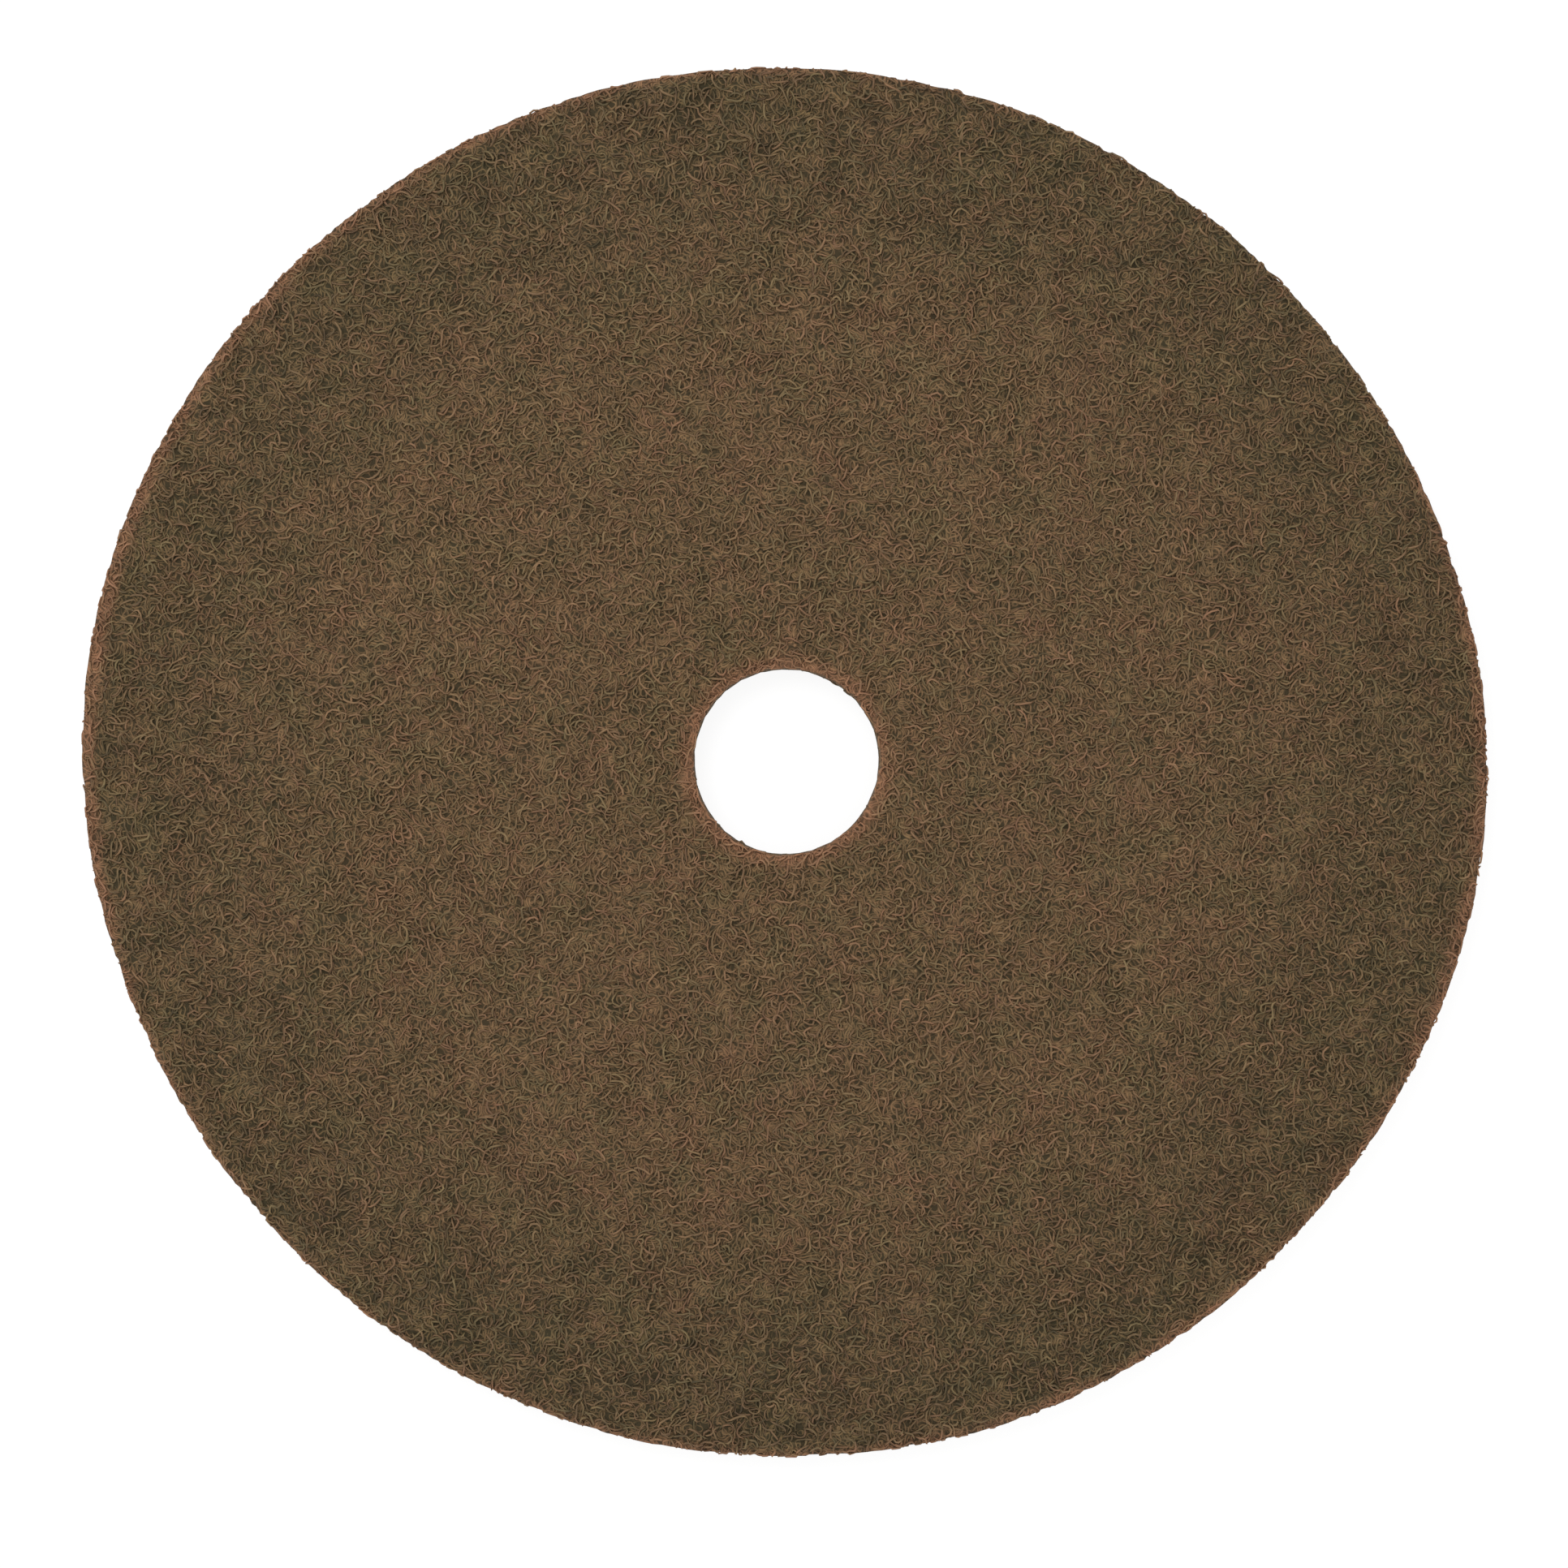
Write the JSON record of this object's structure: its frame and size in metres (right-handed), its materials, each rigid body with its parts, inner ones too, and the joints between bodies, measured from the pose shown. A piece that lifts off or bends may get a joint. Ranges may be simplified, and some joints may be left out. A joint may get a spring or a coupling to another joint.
{
  "type": "diamond polishing pad",
  "caption": "Round floor polishing pad: a thick flat disc of lofty non-woven fibre web with a round hole in its middle, held by its flat back.",
  "frame": {"origin": "axis of the centre hole, in the plane of the flat back face that the pad lies on", "axes": "+Z out of the working face, +X right and +Y up as the picture shows the pad"},
  "size_m": [0.6164, 0.6087, 0.025],
  "materials": {
    "fibre_web": "resin-bonded crimped fibre, olive brown, matt"
  },
  "bodies": {
    "root": {"polishing_pad": "fibre_web"}
  },
  "joints": []
}
